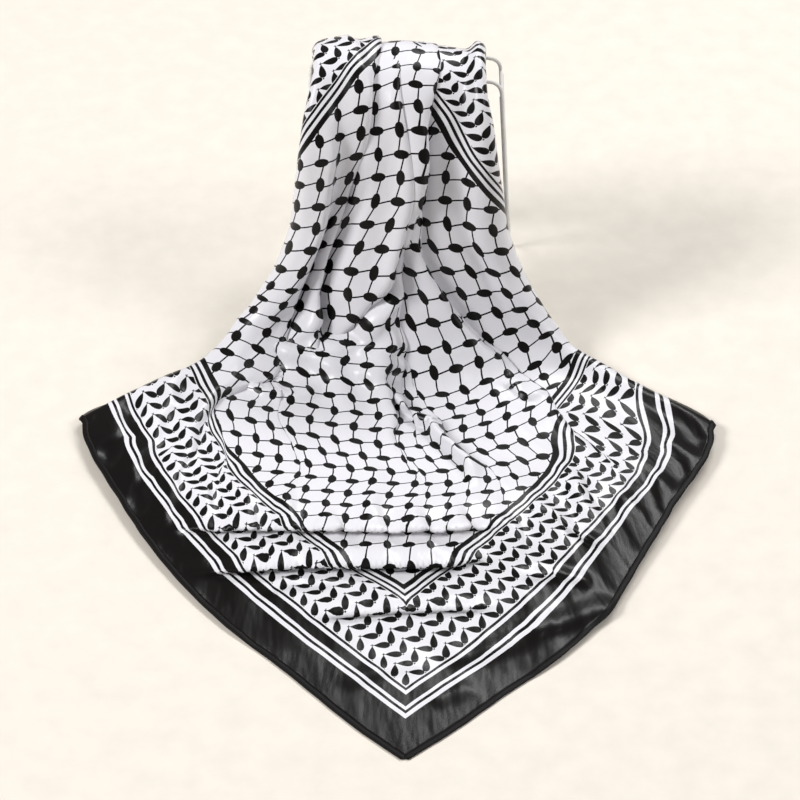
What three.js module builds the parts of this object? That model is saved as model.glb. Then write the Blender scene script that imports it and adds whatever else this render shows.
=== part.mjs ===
// A square satin scarf, laid corner first over a low wire basket that stands upside down.
// Millimetres, +Z up. X runs across the scarf, Y from its front corner towards the basket.
// The origin is on the floor, under the middle of the whole.

import * as THREE from "three";
import { mergeVertices } from "three/addons/utils/BufferGeometryUtils.js";

// The cloth as it was cut
const SIDE = 900;
const DIAGONAL = SIDE * Math.SQRT2;
const HALF = DIAGONAL / 2;
const HEM_WIDTH = 6;
const SEAM_GAP = 0.7;
const SEAM_EDGE = 0.3;
const CLOTH = 1.2;
const FLOOR_GAP = 0.7;
const MIDDLE_OF_FLOOR = { x: 6.4, y: -414 };

// The two cloth coordinates: "along" runs on the diagonal from the front corner to the back one,
// "across" runs square to it. Each row of the next three tables is one section of the drape.
// middle line: where the crests of the cloth run half way between its two folded sides.
// depth: how much of their natural depth the pleats keep. behind: from the crests to the layer
// that is turned under, which is the room that the pleats have.
const MIDDLE = [
  { along: 0, x: 0, y: 0, z: 0, depth: 0.1, behind: 3 },
  { along: 110, x: 0, y: 105, z: 0, depth: 0.2, behind: 3 },
  { along: 209, x: -1, y: 196, z: 9, depth: 0.4, behind: 4 },
  { along: 277, x: 0, y: 233, z: 22, depth: 0.4, behind: 5 },
  { along: 344, x: 3, y: 276, z: 30, depth: 0.4, behind: 8 },
  { along: 434, x: 9, y: 350, z: 20, depth: 0.42, behind: 9 },
  { along: 502, x: 14, y: 412, z: 15, depth: 0.5, behind: 13 },
  { along: 547, x: 14, y: 445, z: 18, depth: 0.6, behind: 18 },
  { along: 592, x: 10, y: 472, z: 40, depth: 0.66, behind: 25 },
  { along: 637, x: 6, y: 495, z: 80, depth: 0.7, behind: 31 },
  { along: 727, x: 3, y: 531, z: 169, depth: 0.66, behind: 29 },
  { along: 772, x: 2, y: 550, z: 212, depth: 0.56, behind: 25 },
  { along: 817, x: 1, y: 577, z: 252, depth: 0.42, behind: 19 },
  { along: 839, x: 1, y: 595, z: 267, depth: 0.36, behind: 15 },
  { along: 862, x: 0, y: 616, z: 276, depth: 0.32, behind: 13 },
  { along: 892, x: 0, y: 646, z: 278, depth: 0.3, behind: 12 },
  { along: 920, x: 0, y: 673, z: 268, depth: 0.32, behind: 12 },
  { along: 945, x: 0, y: 686, z: 247, depth: 0.4, behind: 13 },
  { along: 1020, x: 0, y: 698, z: 168, depth: 0.5, behind: 14 },
  { along: 1130, x: 0, y: 713, z: 55, depth: 0.5, behind: 14 },
  { along: 1165, x: 0, y: 727, z: 22, depth: 0.5, behind: 12 },
  { along: 1195, x: 0, y: 752, z: 8, depth: 0.4, behind: 6 },
  { along: DIAGONAL, x: 0, y: 828, z: 0, depth: 0.1, behind: 3 },
];

// The line where the left side is folded under. "across" is how far the cloth has run by then.
const LEFT_FOLD = [
  { along: 0, across: 0, x: 0, y: 0, z: 0 },
  { along: 40, across: 40, x: -39, y: 34, z: 0 },
  { along: 119, across: 119, x: -111, y: 109, z: 0 },
  { along: 173, across: 173, x: -162, y: 158, z: 3 },
  { along: 232, across: 232, x: -210, y: 219, z: 5 },
  { along: 301, across: 301, x: -256, y: 297, z: 8 },
  { along: 392, across: 392, x: -302, y: 408, z: 10 },
  { along: 428, across: 360, x: -270, y: 436, z: 12 },
  { along: 504, across: 295, x: -200, y: 485, z: 16 },
  { along: 570, across: 278, x: -154, y: 520, z: 34 },
  { along: 637, across: 270, x: -117, y: 531, z: 67 },
  { along: 705, across: 270, x: -93, y: 547, z: 130 },
  { along: 772, across: 270, x: -87, y: 556, z: 198 },
  { along: 817, across: 262, x: -85, y: 574, z: 234 },
  { along: 862, across: 250, x: -80, y: 602, z: 263 },
  { along: 892, across: 242, x: -78, y: 632, z: 271 },
  { along: 920, across: 236, x: -79, y: 660, z: 263 },
  { along: 945, across: 232, x: -80, y: 680, z: 240 },
  { along: 1020, across: 226, x: -80, y: 694, z: 166 },
  { along: 1130, across: 143, x: -60, y: 710, z: 55 },
  { along: 1165, across: 108, x: -50, y: 724, z: 22 },
  { along: 1195, across: 78, x: -42, y: 746, z: 8 },
  { along: DIAGONAL, across: 0, x: 0, y: 828, z: 0 },
];

// The same line on the right, where more cloth is gathered on to the front.
const RIGHT_FOLD = [
  { along: 0, across: 0, x: 0, y: 0, z: 0 },
  { along: 43, across: 43, x: 43, y: 34, z: 0 },
  { along: 93, across: 93, x: 90, y: 77, z: 0 },
  { along: 141, across: 141, x: 137, y: 117, z: 3 },
  { along: 199, across: 199, x: 185, y: 175, z: 5 },
  { along: 249, across: 249, x: 214, y: 232, z: 7 },
  { along: 301, across: 301, x: 244, y: 292, z: 9 },
  { along: 394, across: 394, x: 290, y: 397, z: 10 },
  { along: 440, across: 356, x: 222, y: 453, z: 13 },
  { along: 504, across: 318, x: 176, y: 484, z: 18 },
  { along: 570, across: 306, x: 138, y: 502, z: 36 },
  { along: 637, across: 312, x: 106, y: 519, z: 73 },
  { along: 705, across: 326, x: 83, y: 540, z: 133 },
  { along: 772, across: 318, x: 76, y: 552, z: 198 },
  { along: 817, across: 300, x: 73, y: 574, z: 236 },
  { along: 862, across: 285, x: 70, y: 602, z: 263 },
  { along: 892, across: 274, x: 70, y: 632, z: 271 },
  { along: 920, across: 262, x: 71, y: 660, z: 263 },
  { along: 945, across: 250, x: 71, y: 680, z: 240 },
  { along: 1020, across: 228, x: 73, y: 694, z: 166 },
  { along: 1130, across: 143, x: 56, y: 710, z: 55 },
  { along: 1165, across: 108, x: 48, y: 724, z: 22 },
  { along: 1195, across: 78, x: 40, y: 746, z: 8 },
  { along: DIAGONAL, across: 0, x: 0, y: 828, z: 0 },
];

// Pleats between the two folds: share is where a pleat's crest runs, as a share of the cloth
// from the middle to the fold. gathered is how much of the cloth's width is left in the stretch
// from this crest to the next, where the scarf goes over the basket.
const PLEATS = [
  { share: -1.0, gathered: 0.74 },
  { share: -0.8, gathered: 0.52 },
  { share: -0.6, gathered: 0.32 },
  { share: -0.4, gathered: 0.28 },
  { share: 0.0, gathered: 0.3 },
  { share: 0.33, gathered: 0.22 },
  { share: 0.66, gathered: 0.36 },
  { share: 0.84, gathered: 0.42 },
  { share: 1.0, gathered: 0.42 },
];
const FLATTEST = 0.97;
const TIGHTEST = 0.2;
const GATHER_FROM = 560;
const GATHER_TO = 820;
const UNDER_PLEAT = 64;
const UNDER_DEPTH = 0.2;
const UNDER_CLEAR = 14;
const SECTION_POWER = 1.7;
const PAST_FOLD = 1.2;
const RISE_FROM = 330;
const RISE_TO = 392;
const SLOPE_STEP = 4;
const NORMAL_STEP = 1.2;

// The basket: a tapered frame of round wire. Its top and its foot are two sections of one taper.
const WIRE = 4;
const THIN_WIRE = 2.6;
const WIRE_SIDES = 8;
const JOINT_GAP = 0.3;
const BASKET_MIDDLE = 2;
const TOP = { z: 247.2, front: 618, back: 656, half: 89 };
const FOOT = { z: 4.8, front: 580, back: 676, half: 104 };
const CORNER = 14;
const SIDE_RAIL_Z = 232.2;
const LATTICE_WAVES = 2.5;
const LATTICE_STEPS = 36;
const LEG_STEPS = 14;
const UPRIGHTS = [-0.5, 0, 0.5];

const clamp = (value, low, high) => Math.min(high, Math.max(low, value));

function smoothStep(value, from, to) {
  const share = clamp((value - from) / (to - from), 0, 1);
  return share * share * (3 - 2 * share);
}

// A smooth curve through one column of a table, with no overshoot between its rows.
function columnOf(table, name) {
  const at = table.map((row) => row.along);
  const value = table.map((row) => row[name]);
  const last = at.length - 1;
  const rise = at.slice(1).map((next, i) => (value[i + 1] - value[i]) / (next - at[i]));
  const slope = value.map((_, i) => {
    if (i === 0) return rise[0];
    if (i === last) return rise[last - 1];
    const product = rise[i - 1] * rise[i];
    return product <= 0 ? 0 : (2 * product) / (rise[i - 1] + rise[i]);
  });
  return (along) => {
    const t = clamp(along, at[0], at[last]);
    let i = 0;
    while (i < last - 1 && t > at[i + 1]) i += 1;
    const step = at[i + 1] - at[i];
    const u = (t - at[i]) / step;
    const v = 1 - u;
    return (
      value[i] * v * v * (1 + 2 * u) + slope[i] * step * u * v * v +
      value[i + 1] * u * u * (3 - 2 * u) - slope[i + 1] * step * u * u * v
    );
  };
}

function columnsOf(table) {
  const names = Object.keys(table[0]).filter((name) => name !== "along");
  return Object.fromEntries(names.map((name) => [name, columnOf(table, name)]));
}

const middle = columnsOf(MIDDLE);
const folds = { left: columnsOf(LEFT_FOLD), right: columnsOf(RIGHT_FOLD) };

const reachAt = (along) => Math.max(0, Math.min(along, DIAGONAL - along));

// A pleat's section turns back and forth by the angle swing. J0(swing) of its width is left,
// which is near (1 - swing^2 / 8)^2, so the swing follows from the share that is left.
const swingOf = (left) => Math.sqrt(8 * (1 - Math.sqrt(left)));
const waveOf = (swing) => swing ** 2 / 8 - swing ** 4 / 96;
const depthOf = (swing) => (2 / Math.PI) * (swing - swing ** 3 / 9 + swing ** 5 / 225);

// The section of one row: for each stretch between two crests, its start and width in the cloth,
// the share of its width that is left, and where it starts in space, measured from the middle.
function sectionAt(along) {
  const reach = reachAt(along);
  const gather = smoothStep(along, GATHER_FROM, GATHER_TO);
  const sides = {};
  for (const [side, sign] of [["left", -1], ["right", 1]]) {
    const fold = folds[side];
    const across = Math.max(Math.min(fold.across(along), reach), 0.001);
    const width = Math.max(sign * (fold.x(along) - middle.x(along)), 0.0001);
    const crests = PLEATS.filter((pleat) => pleat.share * sign >= 0);
    const ordered = sign > 0 ? crests : [...crests].reverse();
    const even = clamp(width / across, TIGHTEST, FLATTEST);
    const stretches = [];
    let start = 0;
    for (let i = 0; i + 1 < ordered.length; i += 1) {
      const from = Math.abs(ordered[i].share) * across;
      const length = Math.abs(ordered[i + 1].share - ordered[i].share) * across;
      const tight = sign > 0 ? ordered[i].gathered : ordered[i + 1].gathered;
      const left = clamp(even + (tight - even) * gather, TIGHTEST, FLATTEST);
      stretches.push({ from, length, left, start, swing: swingOf(left) });
      start += left * length;
    }
    sides[side] = { sign, across, width, fit: width / start, stretches };
  }
  return { along, reach, depth: middle.depth(along), behind: middle.behind(along), sides };
}

// Where a row's cloth goes: out is the distance from the middle line, in is the depth behind the
// crests. Past the fold the cloth turns under in a half circle and runs back towards the middle.
function placeInSection(section, across) {
  const side = across < 0 ? section.sides.left : section.sides.right;
  const run = Math.abs(across);
  if (run <= side.across) {
    const stretch = side.stretches.findLast((one) => run >= one.from) ?? side.stretches[0];
    const turn = (2 * Math.PI * (run - stretch.from)) / stretch.length;
    const wave = (stretch.length / (2 * Math.PI)) * waveOf(stretch.swing) * Math.sin(2 * turn);
    const out = (stretch.start + stretch.left * (run - stretch.from) + wave) * side.fit;
    const room = section.behind - CLOTH - 2 * FLOOR_GAP;
    const natural = (stretch.length / 4) * depthOf(stretch.swing) * section.depth;
    const fallen = Math.min(natural, room / 2) * (1 - Math.cos(turn));
    return { side, out, in: fallen, under: 0 };
  }
  const past = run - side.across;
  const radius = section.behind / 2;
  const bend = Math.PI * radius;
  if (past < bend) {
    const angle = past / radius;
    const out = side.width + radius * Math.sin(angle);
    return { side, out, in: radius * (1 - Math.cos(angle)), under: angle / Math.PI };
  }
  const rest = past - bend;
  const free = Math.max(section.reach - side.across - bend, 0.001);
  const left = clamp((side.width - UNDER_CLEAR) / free, TIGHTEST, FLATTEST);
  const swing = swingOf(left);
  const fade = smoothStep(rest, 0, UNDER_PLEAT);
  const turn = (2 * Math.PI * rest) / UNDER_PLEAT;
  const deep = (UNDER_PLEAT / 4) * depthOf(swing) * UNDER_DEPTH * (1 - Math.cos(turn)) * fade;
  return { side, out: side.width - left * rest, in: section.behind + deep, under: 1 };
}

function slopeAt(along) {
  const y = middle.y(along + SLOPE_STEP) - middle.y(along - SLOPE_STEP);
  const z = middle.z(along + SLOPE_STEP) - middle.z(along - SLOPE_STEP);
  const length = Math.hypot(y, z);
  return { y: y / length, z: z / length };
}

// The whole drape: a point of the cloth, by its two cloth coordinates, gives a point in space.
// Where the sides are turned under, the layer on top is lifted clear of the one on the floor.
function clothPoint(along, across) {
  const section = sectionAt(along);
  const place = placeInSection(section, across);
  const { side } = place;
  const fold = side.sign < 0 ? folds.left : folds.right;
  const share = clamp(place.out / side.width, 0, PAST_FOLD) ** SECTION_POWER;
  const baseY = middle.y(along) + (fold.y(along) - middle.y(along)) * share;
  const baseZ = middle.z(along) + (fold.z(along) - middle.z(along)) * share;
  const slope = slopeAt(along);
  const lift = smoothStep(along, RISE_FROM, RISE_TO) * (1 - clamp(2 * place.under, 0, 1));
  const ground = CLOTH / 2 + lift * (CLOTH + FLOOR_GAP);
  return new THREE.Vector3(
    middle.x(along) + side.sign * place.out,
    baseY + slope.z * place.in,
    Math.max(baseZ - slope.y * place.in, ground),
  );
}

function clothNormal(along, across) {
  const step = NORMAL_STEP;
  const alongStep = clothPoint(along + step, across).sub(clothPoint(along - step, across));
  const acrossStep = clothPoint(along, across + step).sub(clothPoint(along, across - step));
  return acrossStep.cross(alongStep).normalize();
}

const spotOf = ([along, across]) => ({
  order: across,
  point: clothPoint(along, across),
  normal: clothNormal(along, across),
});

// A closed wall of cloth from rows of spots, each a point with its normal. Neighbour rows may
// have unlike numbers of spots: the band between two rows is filled by walking along both.
function wallFromRows(rows) {
  const starts = [];
  const upper = [];
  const lower = [];
  for (const row of rows) {
    starts.push(upper.length);
    for (const { point, normal, thickness = CLOTH } of row) {
      for (const [list, sign] of [[upper, 1], [lower, -1]]) {
        const moved = point.clone().addScaledVector(normal, (sign * thickness) / 2);
        moved.z = Math.max(moved.z, 0);
        list.push(moved);
      }
    }
  }
  const count = upper.length;
  const index = [];
  for (let i = 0; i + 1 < rows.length; i += 1) {
    const [near, far] = [rows[i], rows[i + 1]];
    const even = near.length === far.length;
    let a = 0;
    let b = 0;
    while (a < near.length - 1 || b < far.length - 1) {
      const nextNear = near[a + 1]?.order ?? Infinity;
      const nextFar = far[b + 1]?.order ?? Infinity;
      const takeNear = a < near.length - 1 && (even ? a <= b : nextNear < nextFar);
      const [p, q] = [starts[i] + a, starts[i + 1] + b];
      const [u, v, w] = takeNear ? [p, p + 1, q] : [p, q + 1, q];
      index.push(u, v, w, count + u, count + w, count + v);
      if (takeNear) a += 1;
      else b += 1;
    }
  }
  const last = rows.length - 1;
  const first = (i) => starts[i];
  const final = (i) => starts[i] + rows[i].length - 1;
  const ring = [];
  for (let j = first(0); j <= final(0); j += 1) ring.push(j);
  for (let i = 1; i <= last; i += 1) ring.push(final(i));
  for (let j = final(last) - 1; j >= first(last); j -= 1) ring.push(j);
  for (let i = last - 1; i >= 1; i -= 1) ring.push(first(i));
  ring.forEach((p, k) => {
    const q = ring[(k + 1) % ring.length];
    index.push(p, count + p, count + q, p, count + q, q);
  });
  const geometry = new THREE.BufferGeometry();
  const positions = [...upper, ...lower].flatMap((point) => point.toArray());
  geometry.setAttribute("position", new THREE.Float32BufferAttribute(positions, 3));
  geometry.setIndex(index);
  return geometry;
}

// The rows of the panel: their places along the diagonal, closer where the cloth bends.
const ROW_STEPS = [
  { from: 0, to: 200, step: 40 },
  { from: 200, to: 370, step: 28 },
  { from: 370, to: 430, step: 12 },
  { from: 430, to: 640, step: 26 },
  { from: 640, to: 800, step: 34 },
  { from: 800, to: 960, step: 15 },
  { from: 960, to: 1000, step: 40 },
  { from: 1000, to: 1120, step: 24 },
  { from: 1120, to: 1200, step: 20 },
  { from: 1200, to: DIAGONAL, step: 36 },
];
const CREST_STEPS = 6;
const BEND_STEPS = 4;
const UNDER_STEPS = 6;
const PLAIN_STEPS = 2;
const PLAIN_ENDS = 120;
const LEAST_ROW_STEP = 9;
const LEAST_RUN_STEP = 4;
const TINY = 0.01;

function rowPlaces() {
  const inset = (HEM_WIDTH + SEAM_GAP) * Math.SQRT2;
  const places = [inset, HALF, DIAGONAL - inset];
  for (const { from, to, step } of ROW_STEPS) {
    const count = Math.round((to - from) / step);
    for (let i = 1; i <= count; i += 1) places.push(from + ((to - from) * i) / count);
  }
  const sorted = places.filter((p) => p >= inset && p <= DIAGONAL - inset).sort((a, b) => a - b);
  return sorted.filter((p, i) => i === 0 || p - sorted[i - 1] > LEAST_ROW_STEP || i === sorted.length - 1);
}

// One row of the panel: points between the crests, round the fold and along the part turned under.
function panelRow(along) {
  const edge = reachAt(along) - (HEM_WIDTH + SEAM_GAP) * Math.SQRT2;
  if (edge <= TINY) return [[along, 0]];
  const section = sectionAt(along);
  const steps = reachAt(along) < PLAIN_ENDS ? PLAIN_STEPS : CREST_STEPS;
  const points = [[along, 0]];
  for (const side of Object.values(section.sides)) {
    const runs = [];
    for (const stretch of side.stretches) {
      for (let j = 1; j <= steps; j += 1) runs.push(stretch.from + (stretch.length * j) / steps);
    }
    const bend = (Math.PI * section.behind) / 2;
    for (let j = 1; j <= BEND_STEPS; j += 1) runs.push(side.across + (bend * j) / BEND_STEPS);
    const free = edge - side.across - bend;
    for (let j = 1; j < UNDER_STEPS; j += 1) {
      if (free > 0) runs.push(side.across + bend + (free * j) / UNDER_STEPS);
    }
    const kept = runs.filter((run) => run < edge - LEAST_RUN_STEP);
    kept.push(edge);
    kept.forEach((run) => points.push([along, side.sign * run]));
  }
  return points.sort((a, b) => a[1] - b[1]);
}

const EDGE_STEP = 3;
const EDGE_SHARE = 0.995;

// A hem along one side of the square, made from the panel's own edge, moved out in the surface.
// "seam" holds the cloth coordinates of that edge, from its first corner to its last one, and
// "corners" the two corners of the cloth, to which the mitred ends reach.
function hemRows(seam, corners) {
  const edge = seam.map(spotOf);
  const last = edge.length - 1;
  return edge.map(({ point, normal }, i) => {
    const [before, after] = [edge[Math.max(i - 1, 0)], edge[Math.min(i + 1, last)]];
    const run = after.point.clone().sub(before.point).normalize();
    const [along, across] = seam[i];
    const inward = clothPoint(along + Math.sign(HALF - along) * EDGE_STEP, across * EDGE_SHARE);
    const within = point.clone().sub(inward);
    const out = within.addScaledVector(run, -within.dot(run)).normalize();
    const inner = point.clone().addScaledVector(out, SEAM_GAP);
    const outer = point.clone().addScaledVector(out, SEAM_GAP + HEM_WIDTH);
    if (i === 0) outer.copy(clothPoint(...corners[0])).addScaledVector(run, SEAM_GAP);
    if (i === last) outer.copy(clothPoint(...corners[1])).addScaledVector(run, -SEAM_GAP);
    const pair = [
      { order: 0, point: inner, normal, thickness: SEAM_EDGE },
      { order: 1, point: outer, normal },
    ];
    const facing = outer.clone().sub(inner).cross(run).dot(normal);
    return facing > 0 ? pair : pair.reverse();
  });
}

// Round wire along a curve
function wireAlong(curve, thickness, steps) {
  const section = new THREE.Shape();
  for (let i = 0; i < WIRE_SIDES; i += 1) {
    const angle = (2 * Math.PI * (i + 0.5)) / WIRE_SIDES;
    const reach = thickness / 2 / Math.cos(Math.PI / WIRE_SIDES);
    const [x, y] = [Math.cos(angle) * reach, Math.sin(angle) * reach];
    if (i === 0) section.moveTo(x, y);
    else section.lineTo(x, y);
  }
  section.closePath();
  return new THREE.ExtrudeGeometry(section, { steps, bevelEnabled: false, extrudePath: curve });
}

const straight = (from, to) => wireAlong(new THREE.LineCurve3(from, to), WIRE, 1);

// A point of the basket's taper: the height, the share of its half width and "front" or "back"
function onBasket(z, share, face) {
  const down = (TOP.z - z) / (TOP.z - FOOT.z);
  const half = TOP.half + (FOOT.half - TOP.half) * down;
  const y = TOP[face] + (FOOT[face] - TOP[face]) * down;
  return new THREE.Vector3(BASKET_MIDDLE + share * half, y, z);
}

// A leg from the foot rail up and round the corner to the top rail
function legPath(sign, face) {
  const path = new THREE.CurvePath();
  const low = onBasket(FOOT.z, sign, face);
  const bendStart = onBasket(TOP.z - CORNER, sign, face);
  const corner = onBasket(TOP.z, sign, face);
  const bendEnd = corner.clone().setX(corner.x - sign * CORNER);
  path.add(new THREE.LineCurve3(low, bendStart));
  path.add(new THREE.QuadraticBezierCurve3(bendStart, corner, bendEnd));
  return path;
}

// Two wires wind down each side face between its legs, one just outside the other.
class LatticeCurve extends THREE.Curve {
  constructor(sign, turn, outward) {
    super();
    Object.assign(this, { sign, turn, outward });
  }
  getPoint(share, target = new THREE.Vector3()) {
    const z = TOP.z - CORNER - WIRE - (TOP.z - CORNER - 2 * WIRE - FOOT.z) * share;
    const front = onBasket(z, this.sign, "front");
    const back = onBasket(z, this.sign, "back");
    const room = (back.y - front.y) / 2 - WIRE / 2 - THIN_WIRE / 2 - JOINT_GAP;
    const swing = room * Math.cos(2 * Math.PI * LATTICE_WAVES * share + this.turn);
    return target.set(front.x + this.outward, (front.y + back.y) / 2 + swing, z);
  }
}

const material = (color, roughness, metalness) =>
  new THREE.MeshStandardMaterial({ color, roughness, metalness });

const laidOut = new THREE.Group();
laidOut.position.set(MIDDLE_OF_FLOOR.x, MIDDLE_OF_FLOOR.y, 0);
const scarfOnBasket = new THREE.Group();
scarfOnBasket.add(laidOut);

function addPiece(name, geometry, paint) {
  geometry.deleteAttribute("normal");
  geometry.deleteAttribute("uv");
  const closed = mergeVertices(geometry, 1e-4);
  closed.computeVertexNormals();
  const mesh = new THREE.Mesh(closed, paint);
  mesh.name = name;
  laidOut.add(mesh);
}

const panelRows = rowPlaces().map(panelRow);
const white = material(0xf1eff3, 0.35, 0);
addPiece("panel", wallFromRows(panelRows.map((row) => row.map(spotOf))), white);

const leftEdge = panelRows.map((row) => row[0]);
const rightEdge = panelRows.map((row) => row[row.length - 1]);
const frontPart = (edge) => edge.filter(([along]) => along < HALF + 1);
const backPart = (edge) => edge.filter(([along]) => along > HALF - 1);
const HEMS = [
  ["hem_front_left", frontPart(leftEdge), [[0, 0], [HALF, -HALF]]],
  ["hem_front_right", frontPart(rightEdge), [[0, 0], [HALF, HALF]]],
  ["hem_back_left", backPart(leftEdge), [[HALF, -HALF], [DIAGONAL, 0]]],
  ["hem_back_right", backPart(rightEdge), [[HALF, HALF], [DIAGONAL, 0]]],
];
for (const [name, seam, corners] of HEMS) {
  addPiece(name, wallFromRows(hemRows(seam, corners)), material(0x2b2625, 0.4, 0));
}

const wireWhite = material(0xf4f3f0, 0.3, 0);
for (const [sideName, sign] of [["left", -1], ["right", 1]]) {
  for (const face of ["front", "back"]) {
    addPiece(`leg_${face}_${sideName}`, wireAlong(legPath(sign, face), WIRE, LEG_STEPS), wireWhite);
  }
  const inset = WIRE / 2 + 2 * JOINT_GAP;
  for (const [name, z] of [["top_rail", SIDE_RAIL_Z], ["foot_rail", WIRE / 2]]) {
    const front = onBasket(z, sign, "front");
    const back = onBasket(z, sign, "back");
    front.y += inset;
    back.y -= inset;
    addPiece(`${name}_${sideName}`, straight(front, back), wireWhite);
  }
  const beside = (THIN_WIRE + JOINT_GAP) / 2;
  for (const [name, turn, outward] of [["outer", 0, beside], ["inner", Math.PI, -beside]]) {
    const curve = new LatticeCurve(sign, turn, sign * outward);
    addPiece(`lattice_${name}_${sideName}`, wireAlong(curve, THIN_WIRE, LATTICE_STEPS), wireWhite);
  }
}
for (const face of ["front", "back"]) {
  const topLeft = onBasket(TOP.z, -1, face).add(new THREE.Vector3(CORNER + JOINT_GAP, 0, 0));
  const topRight = onBasket(TOP.z, 1, face).sub(new THREE.Vector3(CORNER + JOINT_GAP, 0, 0));
  addPiece(`top_rail_${face}`, straight(topLeft, topRight), wireWhite);
  const footLeft = onBasket(WIRE / 2, -1, face).sub(new THREE.Vector3(WIRE / 2, 0, 0));
  const footRight = onBasket(WIRE / 2, 1, face).add(new THREE.Vector3(WIRE / 2, 0, 0));
  addPiece(`foot_rail_${face}`, straight(footLeft, footRight), wireWhite);
  UPRIGHTS.forEach((share, i) => {
    const low = onBasket(FOOT.z, share, face);
    const high = onBasket(TOP.z - WIRE / 2 - 2 * JOINT_GAP, share, face);
    addPiece(`upright_${face}_${i + 1}`, straight(low, high), wireWhite);
  });
}

export default scarfOnBasket;
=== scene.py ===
# %% [markdown]
# # A square satin scarf over a wire basket
# The scarf is one square of printed satin with a narrow hem. It lies corner first on the floor,
# goes up over a low basket of coated wire that stands upside down, and falls down behind it.
# The cloth is one surface of two numbers, so all of it, from the hem to the print, is worked
# out from the place that each thread had in the flat square.

import bpy
import numpy as np
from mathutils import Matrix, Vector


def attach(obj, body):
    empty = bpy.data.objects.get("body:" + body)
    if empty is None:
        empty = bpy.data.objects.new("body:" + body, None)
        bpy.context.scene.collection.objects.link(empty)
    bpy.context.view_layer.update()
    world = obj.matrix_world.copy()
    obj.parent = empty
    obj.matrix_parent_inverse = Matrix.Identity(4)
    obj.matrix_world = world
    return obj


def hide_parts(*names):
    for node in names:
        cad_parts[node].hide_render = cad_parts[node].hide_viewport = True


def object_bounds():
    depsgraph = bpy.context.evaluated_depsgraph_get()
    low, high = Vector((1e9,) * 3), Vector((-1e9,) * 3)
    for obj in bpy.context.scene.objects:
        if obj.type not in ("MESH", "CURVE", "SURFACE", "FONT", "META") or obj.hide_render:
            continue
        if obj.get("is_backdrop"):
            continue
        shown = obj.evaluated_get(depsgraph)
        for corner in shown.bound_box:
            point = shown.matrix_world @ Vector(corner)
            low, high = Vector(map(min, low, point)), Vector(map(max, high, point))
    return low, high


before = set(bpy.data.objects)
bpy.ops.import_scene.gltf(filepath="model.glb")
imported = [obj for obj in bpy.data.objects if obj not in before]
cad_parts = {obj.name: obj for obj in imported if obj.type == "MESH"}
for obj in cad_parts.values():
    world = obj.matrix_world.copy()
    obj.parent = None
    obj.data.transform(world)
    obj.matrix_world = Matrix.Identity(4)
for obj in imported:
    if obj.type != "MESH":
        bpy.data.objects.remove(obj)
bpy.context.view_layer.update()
print("solids:", len(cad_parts), "nodes")

# %% [markdown]
# ## The drape in numbers
# A draped cloth can be simulated, but then its folds fall where chance puts them. Here the folds
# have known places, so the drape is a formula instead. The cloth's two coordinates are "along",
# the distance on the diagonal from the front corner, and "across", square to it. Each row of a
# table says where one section of the drape lies, in millimetres, and a smooth curve joins them.

# %% Sizes and tables of the drape
MM = 0.001
SIDE = 900.0
DIAGONAL = SIDE * np.sqrt(2)
HALF = DIAGONAL / 2
CLOTH = 1.2
FLOOR_GAP = 0.7
# Where the front corner lies in the shared frame
CORNER_IN_FRAME = np.array([6.4, -414.0, 0.0])

MIDDLE_COLUMNS = ("along", "x", "y", "z", "depth", "behind")
MIDDLE = np.array([
    (0, 0, 0, 0, 0.1, 3),
    (110, 0, 105, 0, 0.2, 3),
    (209, -1, 196, 9, 0.4, 4),
    (277, 0, 233, 22, 0.4, 5),
    (344, 3, 276, 30, 0.4, 8),
    (434, 9, 350, 20, 0.42, 9),
    (502, 14, 412, 15, 0.5, 13),
    (547, 14, 445, 18, 0.6, 18),
    (592, 10, 472, 40, 0.66, 25),
    (637, 6, 495, 80, 0.7, 31),
    (727, 3, 531, 169, 0.66, 29),
    (772, 2, 550, 212, 0.56, 25),
    (817, 1, 577, 252, 0.42, 19),
    (839, 1, 595, 267, 0.36, 15),
    (862, 0, 616, 276, 0.32, 13),
    (892, 0, 646, 278, 0.3, 12),
    (920, 0, 673, 268, 0.32, 12),
    (945, 0, 686, 247, 0.4, 13),
    (1020, 0, 698, 168, 0.5, 14),
    (1130, 0, 713, 55, 0.5, 14),
    (1165, 0, 727, 22, 0.5, 12),
    (1195, 0, 752, 8, 0.4, 6),
    (DIAGONAL, 0, 828, 0, 0.1, 3),
])

FOLD_COLUMNS = ("along", "across", "x", "y", "z")
LEFT_FOLD = np.array([
    (0, 0, 0, 0, 0),
    (40, 40, -39, 34, 0),
    (119, 119, -111, 109, 0),
    (173, 173, -162, 158, 3),
    (232, 232, -210, 219, 5),
    (301, 301, -256, 297, 8),
    (392, 392, -302, 407, 10),
    (428, 360, -269, 436, 12),
    (504, 295, -190, 485, 16),
    (570, 278, -149, 520, 34),
    (637, 270, -117, 531, 67),
    (705, 270, -93, 547, 130),
    (772, 270, -87, 556, 198),
    (817, 262, -85, 574, 234),
    (862, 250, -80, 602, 263),
    (892, 242, -78, 632, 271),
    (920, 236, -79, 660, 263),
    (945, 232, -80, 680, 240),
    (1020, 226, -80, 694, 166),
    (1130, 143, -60, 710, 55),
    (1165, 108, -50, 724, 22),
    (1195, 78, -42, 746, 8),
    (DIAGONAL, 0, 0, 828, 0),
])
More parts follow.
